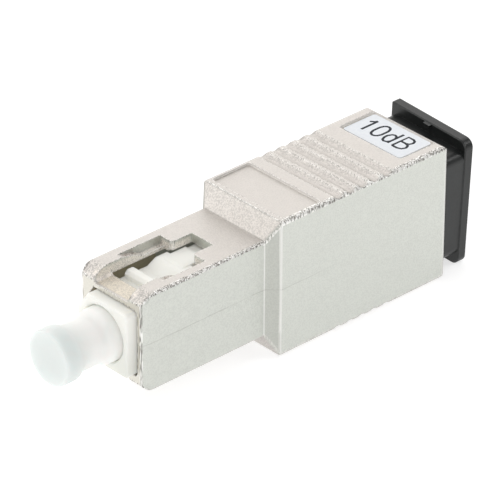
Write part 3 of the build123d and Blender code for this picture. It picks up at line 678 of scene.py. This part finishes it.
def milky_cap():
    """Translucent bluish cap, with painted light making its neck paler and a faint painted glow."""
    material, w, shader = moulded("milky cap", (0.67, 0.69, 0.68, 1.0), (0.64, 0.665, 0.655, 1.0),
                                  0.5, 0.38, 0.3, (0.67, 0.69, 0.68, 1.0), 0.4)
    # painted light: paler towards the neck
    neck = w.ramp(w.place().outputs["X"], -6.0 * MM, -3.0 * MM, 0.0, 0.85)
    tint(w, shader, neck, (0.88, 0.89, 0.855, 1.0))
    # the faint emission is a painted glow that brightens the cap
    set_plain(shader, Subsurface_Weight=0.8, Subsurface_Scale=2.0 * MM,
              Subsurface_Radius=(0.8, 1.0, 1.0),
              Emission_Color=(0.82, 0.84, 0.80, 1.0), Emission_Strength=0.09)
    return material


def black_moulding():
    """Black moulding of the dust plug."""
    return moulded("black moulding", (0.008, 0.010, 0.0098, 1.0), (0.005, 0.006, 0.006, 1.0),
                   0.22, 0.28, 0.5, (0.03, 0.032, 0.032, 1.0), 0.6)[0]


def label_film():
    """Coated paper under a clear film, with a faint fibre tone."""
    material, w, shader = new_material("label film")
    fibres = w.group(GRAIN, Size=0.3, Softness=0.6)
    drift = w.group(MOTTLE, Size=2.0, Strength=0.5).outputs["Tone"]
    tone = w.mix(w.ramp(drift, 0.8, 1.2), (0.74, 0.775, 0.82, 1.0), (0.77, 0.80, 0.845, 1.0))
    tone = w.mix(w.ramp(fibres.outputs["Tone"], 0.35, 0.65), tone, (0.79, 0.82, 0.855, 1.0))
    w.feed(shader.inputs["Base Color"], tone)
    w.feed(shader.inputs["Roughness"], w.math("MULTIPLY_ADD", fibres.outputs["Tone"], 0.15, 0.35))
    bumped(w, shader, fibres.outputs["Height"], 0.15, 0.01)
    set_plain(shader, Coat_Weight=0.2, Coat_Roughness=0.25)
    return material


def printed_ink():
    """Matt grey-black ink."""
    material, w, shader = new_material("printed ink")
    grain = w.group(GRAIN, Size=0.12, Softness=0.6)
    body = w.mix(w.ramp(grain.outputs["Tone"], 0.35, 0.65),
                 (0.024, 0.027, 0.034, 1.0), (0.05, 0.054, 0.062, 1.0))
    w.feed(shader.inputs["Base Color"], body)
    w.feed(shader.inputs["Roughness"], w.math("MULTIPLY_ADD", grain.outputs["Tone"], 0.2, 0.6))
    set_plain(shader, Specular_IOR_Level=0.15)
    return material


def ceramic():
    """Ground and polished zirconia."""
    material, w, shader = new_material("ground ceramic")
    marks = w.group(GRAIN, Size=0.1, Softness=0.5)
    drift = w.group(MOTTLE, Size=4.0, Strength=0.3).outputs["Tone"]
    body = w.mix(w.ramp(drift, 0.85, 1.15), (0.80, 0.79, 0.74, 1.0), (0.86, 0.855, 0.82, 1.0))
    w.feed(shader.inputs["Base Color"], body)
    w.feed(shader.inputs["Roughness"], w.math("MULTIPLY_ADD", marks.outputs["Tone"], 0.1, 0.12))
    set_plain(shader, Subsurface_Weight=0.15, Subsurface_Scale=0.4 * MM,
              Coat_Weight=0.3, Coat_Roughness=0.1)
    return material


def machined_metal(name, light, dark, rough):
    """Turned or drawn metal with rings of tool marks along the axis."""
    material, w, shader = new_material(name)
    squeeze = w.node("ShaderNodeMapping", Vector=w.point(), Scale=(1.0, 0.15, 0.15))
    rings = w.noise(squeeze.outputs["Vector"], 9000.0, 2.0)
    edge = w.group(EDGE, Reach=0.12, Speck=0.2).outputs["Edge"]
    body = w.mix(w.ramp(rings, 0.35, 0.65), dark, light)
    w.feed(shader.inputs["Base Color"], w.mix(w.math("MULTIPLY", edge, 0.6), body, (0.9, 0.9, 0.88, 1.0)))
    w.feed(shader.inputs["Roughness"], w.math("MULTIPLY_ADD", rings, 0.2, rough))
    bumped(w, shader, rings, 0.2, 0.004)
    set_plain(shader, Metallic=1.0)
    return material


def clear_glass():
    """Doped glass of the fibre."""
    material, w, shader = new_material("glass fibre")
    drift = w.group(MOTTLE, Size=1.0, Strength=0.2).outputs["Tone"]
    tone = w.mix(w.ramp(drift, 0.9, 1.1), (0.86, 0.92, 0.94, 1.0), (0.95, 0.97, 0.98, 1.0))
    w.feed(shader.inputs["Base Color"], tone)
    w.feed(shader.inputs["Roughness"], w.math("MULTIPLY", drift, 0.05))
    set_plain(shader, Transmission_Weight=0.9, IOR=1.46)
    return material


def dress(name, material):
    """Gives a CAD node its material."""
    mesh = nodes[name].data
    mesh.materials.clear()
    mesh.materials.append(material)


# Pieces of the scene's own

def bend_lines(shape):
    """Search trees of points along a surface's bends: those that stand out, and those in a corner."""
    outer, inner = [], []
    for edge in shape.edges:
        if len(edge.link_faces) != 2:
            continue
        angle = edge.calc_face_angle_signed(0.0)
        length = edge.calc_length()
        breadth = sum(face.calc_area() for face in edge.link_faces) / length / MM
        if abs(angle) < SHARP_BEND and abs(angle) < TIGHT_ROUND * breadth:
            continue
        start, end = (corner.co for corner in edge.verts)
        count = max(1, math.ceil(length / (BEND_STEP * MM)))
        line = outer if angle > 0.0 else inner
        line.extend(start.lerp(end, index / count) for index in range(count + 1))
    trees = []
    for line in (outer, inner):
        tree = KDTree(len(line))
        for index, point in enumerate(line):
            tree.insert(point, index)
        tree.balance()
        trees.append(tree)
    return trees


def bend_distances(trees, point):
    """How far a point lies from the nearest outer and inner bend, in millimetres, up to a limit."""
    return [min(tree.find(point)[2] / MM, BEND_LIMIT) for tree in trees]


def mark_bends(name):
    """A copy of a CAD node's mesh that holds, at each point, how near it is to a bend."""
    shape = bmesh.new()
    shape.from_mesh(nodes[name].data)
    bmesh.ops.remove_doubles(shape, verts=shape.verts, dist=0.001 * MM)
    trees = bend_lines(shape)
    known = {}

    def at(corner):
        key = corner.co.to_tuple(8)
        if key not in known:
            known[key] = bend_distances(trees, corner.co)
        return known[key]

    for _ in range(BEND_ROUNDS):
        uneven = []
        for edge in shape.edges:
            if edge.calc_length() < SHORT_EDGE * MM:
                continue
            first, second = (at(corner) for corner in edge.verts)
            middle = bend_distances(trees, (edge.verts[0].co + edge.verts[1].co) / 2)
            gaps = [abs(m - (a + b) / 2) for a, b, m in zip(first, second, middle)]
            if max(gaps) > UNEVEN_GAP:
                uneven.append(edge)
        if not uneven:
            break
        bmesh.ops.subdivide_edges(shape, edges=uneven, cuts=1)
        bmesh.ops.triangulate(shape, faces=[face for face in shape.faces if len(face.verts) > 3])
    mesh = bpy.data.meshes.new(name + "_marked")
    shape.to_mesh(mesh)
    marks = np.array([at(corner) for corner in shape.verts])
    shape.free()
    for label, column in (("outer bend", 0), ("inner bend", 1)):
        mesh.attributes.new(label, "FLOAT", "POINT").data.foreach_set("value", marks[:, column])
    piece = bpy.data.objects.new(name + "_marked", mesh)
    bpy.context.collection.objects.link(piece)
    return piece


def coil_tree():
    """A round-wire compression spring along X, from its sizes."""
    tree = bpy.data.node_groups.new("wound spring", "GeometryNodeTree")
    for label in ("Radius", "Wire", "Length", "Turns", "Start"):
        tree.interface.new_socket(name=label, in_out="INPUT", socket_type="NodeSocketFloat")
    tree.interface.new_socket(name="Steel", in_out="INPUT", socket_type="NodeSocketMaterial")
    tree.interface.new_socket(name="Geometry", in_out="OUTPUT", socket_type="NodeSocketGeometry")
    w = Wiring(tree)
    given = w.node("NodeGroupInput")
    put = w.node("NodeGroupOutput")
    line = w.node("GeometryNodeCurveSpiral")
    line.inputs["Resolution"].default_value = 28
    w.feed(line.inputs["Rotations"], given.outputs["Turns"])
    w.feed(line.inputs["Start Radius"], given.outputs["Radius"])
    w.feed(line.inputs["End Radius"], given.outputs["Radius"])
    w.feed(line.inputs["Height"], given.outputs["Length"])
    ring = w.node("GeometryNodeCurvePrimitiveCircle")
    ring.inputs["Resolution"].default_value = 12
    w.feed(ring.inputs["Radius"], w.math("MULTIPLY", given.outputs["Wire"], 0.5))
    wire = w.node("GeometryNodeCurveToMesh")
    w.feed(wire.inputs["Curve"], line.outputs[0])
    w.feed(wire.inputs["Profile Curve"], ring.outputs[0])
    wire.inputs["Fill Caps"].default_value = True
    along = w.node("ShaderNodeCombineXYZ")
    w.feed(along.inputs["X"], given.outputs["Start"])
    turn = w.node("GeometryNodeTransform")
    turn.inputs["Rotation"].default_value = (0.0, math.pi / 2, 0.0)
    w.feed(turn.inputs["Geometry"], wire.outputs[0])
    w.feed(turn.inputs["Translation"], along.outputs[0])
    smooth = w.node("GeometryNodeSetShadeSmooth")
    w.feed(smooth.inputs["Geometry"], turn.outputs[0])
    real = w.node("GeometryNodeRealizeInstances")
    w.feed(real.inputs[0], smooth.outputs[0])
    finish = w.node("GeometryNodeSetMaterial")
    w.feed(finish.inputs["Geometry"], real.outputs[0])
    w.feed(finish.inputs["Material"], given.outputs["Steel"])
    w.feed(put.inputs[0], finish.outputs[0])
    return tree


def wind_spring(steel):
    """The ferrule's spring in round wire, in place of the six-sided solid."""
    low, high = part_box("ferrule_spring")
    length = high[0] - low[0]
    sizes = {"Radius": (high[2] - low[2] - SPRING_WIRE) / 2, "Wire": SPRING_WIRE,
             "Length": length - SPRING_WIRE, "Turns": SPRING_TURNS,
             "Start": low[0] + SPRING_WIRE / 2, "Steel": steel}
    carrier = mesh_piece("spring_carrier", [(0, 0, 0)], [])
    modifier = carrier.modifiers.new("wound spring", "NODES")
    modifier.node_group = coil_tree()
    for item in modifier.node_group.interface.items_tree:
        if item.in_out == "INPUT":
            modifier[item.identifier] = sizes[item.name]
    spring = plain_mesh("ferrule_spring_wire", carrier)
    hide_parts("ferrule_spring")
    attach(spring, "inner")
    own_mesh(spring)


def print_value(ink):
    """The value on the label, in plain round-ended strokes that read from the key side."""
    low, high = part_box("rating_label")
    top = high[2]
    middle_x = (low[0] + high[0]) / 2 + LETTER_SHIFT * MM
    middle_y = (low[1] + high[1]) / 2
    line = bpy.data.curves.new("printed value", "CURVE")
    line.dimensions = "3D"
    line.bevel_depth = STROKE / 2 * MM
    line.bevel_resolution = 3
    line.use_fill_caps = True
    for name, start in LETTER_STARTS.items():
        for stroke in LETTERS[name]:
            spline = line.splines.new("POLY")
            spline.points.add(len(stroke) - 1)
            for point, (across, up) in zip(spline.points, stroke):
                x = middle_x + (up - 0.5) * LETTER_HEIGHT * MM
                y = middle_y + (VALUE_WIDTH / 2 - start - across * LETTER_HEIGHT) * MM
                point.co = (x, y, 0.0, 1.0)
    carrier = bpy.data.objects.new("printed_value_line", line)
    bpy.context.collection.objects.link(carrier)
    value = plain_mesh("label_print", carrier)
    count = len(value.data.vertices)
    places = np.empty(count * 3)
    value.data.vertices.foreach_get("co", places)
    places = places.reshape(-1, 3)
    places[:, 2] = top + places[:, 2] * (INK_THICKNESS / STROKE)
    value.data.vertices.foreach_set("co", places.ravel())
    value.data.update()
    value.data.materials.clear()
    value.data.materials.append(ink)
    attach(value, "housing")


aim_camera()
bpy.context.scene.view_settings.view_transform = "Standard"
lay_floor()
light_room()

nickel = cast_nickel()
white = white_moulding()
zirconia = ceramic()
plated = machined_metal("plated collar", (0.72, 0.70, 0.64, 1.0), (0.60, 0.58, 0.52, 1.0), 0.22)
steel = machined_metal("spring steel", (0.66, 0.66, 0.66, 1.0), (0.5, 0.5, 0.51, 1.0), 0.25)

casting = mark_bends("metal_housing")
casting.data.materials.append(nickel)
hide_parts("metal_housing")
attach(casting, "housing")
dress("rating_label", label_film())
dress("plug_frame", white)
dress("receptacle_latch", white)
dress("ferrule", zirconia)
dress("split_sleeve", zirconia)
dress("ferrule_collar", plated)
dress("spring_seat", plated)
dress("attenuating_fibre", clear_glass())
dress("front_dust_cap", milky_cap())
dress("rear_dust_plug", black_moulding())

wind_spring(steel)
print_value(printed_ink())
